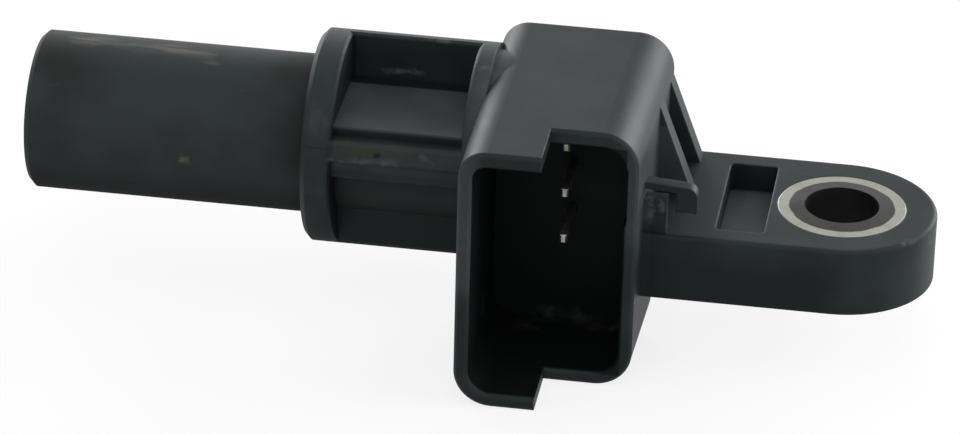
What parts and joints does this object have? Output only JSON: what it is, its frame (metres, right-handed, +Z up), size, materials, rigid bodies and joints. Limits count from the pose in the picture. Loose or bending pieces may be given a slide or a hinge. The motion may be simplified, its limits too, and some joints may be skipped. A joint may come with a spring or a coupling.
{
  "type": "camshaft position sensor",
  "caption": "Cylindrical probe with a cored collar, a sideways plug socket with a stepped rim, and a flat bolt-on ear with a metal bush.",
  "frame": {"origin": "axis of the mounting bush at the ear's underside, which is the seat face", "axes": "-X along the probe towards its tip, -Y out of the plug socket, +Z up along the bolt, away from the seat"},
  "size_m": [0.0856, 0.0292, 0.0269],
  "materials": {
    "housing_plastic": "satin moulded, fine grain",
    "sleeve_plastic": "matt moulded, lightly scuffed",
    "bush_steel": "turned, dull zinc plated",
    "carrier_plastic": "moulded",
    "chip_epoxy": "moulded epoxy",
    "tinned_metal": "tin plated",
    "pole_steel": "stamped",
    "magnet": "ground",
    "capacitor_ceramic": "sintered ceramic",
    "resin": "cured epoxy resin"
  },
  "bodies": {
    "root": {"housing": "housing_plastic", "probe_sleeve": "sleeve_plastic", "mounting_bush": "bush_steel", "sensor_carrier": "carrier_plastic", "hall_chip": "chip_epoxy", "chip_legs": "tinned_metal", "pole_piece": "pole_steel", "bias_magnet": "magnet", "input_capacitor": "capacitor_ceramic", "output_capacitor": "capacitor_ceramic", "potting_resin": "resin", "terminal_supply": "tinned_metal", "terminal_signal": "tinned_metal", "terminal_ground": "tinned_metal"}
  },
  "joints": []
}
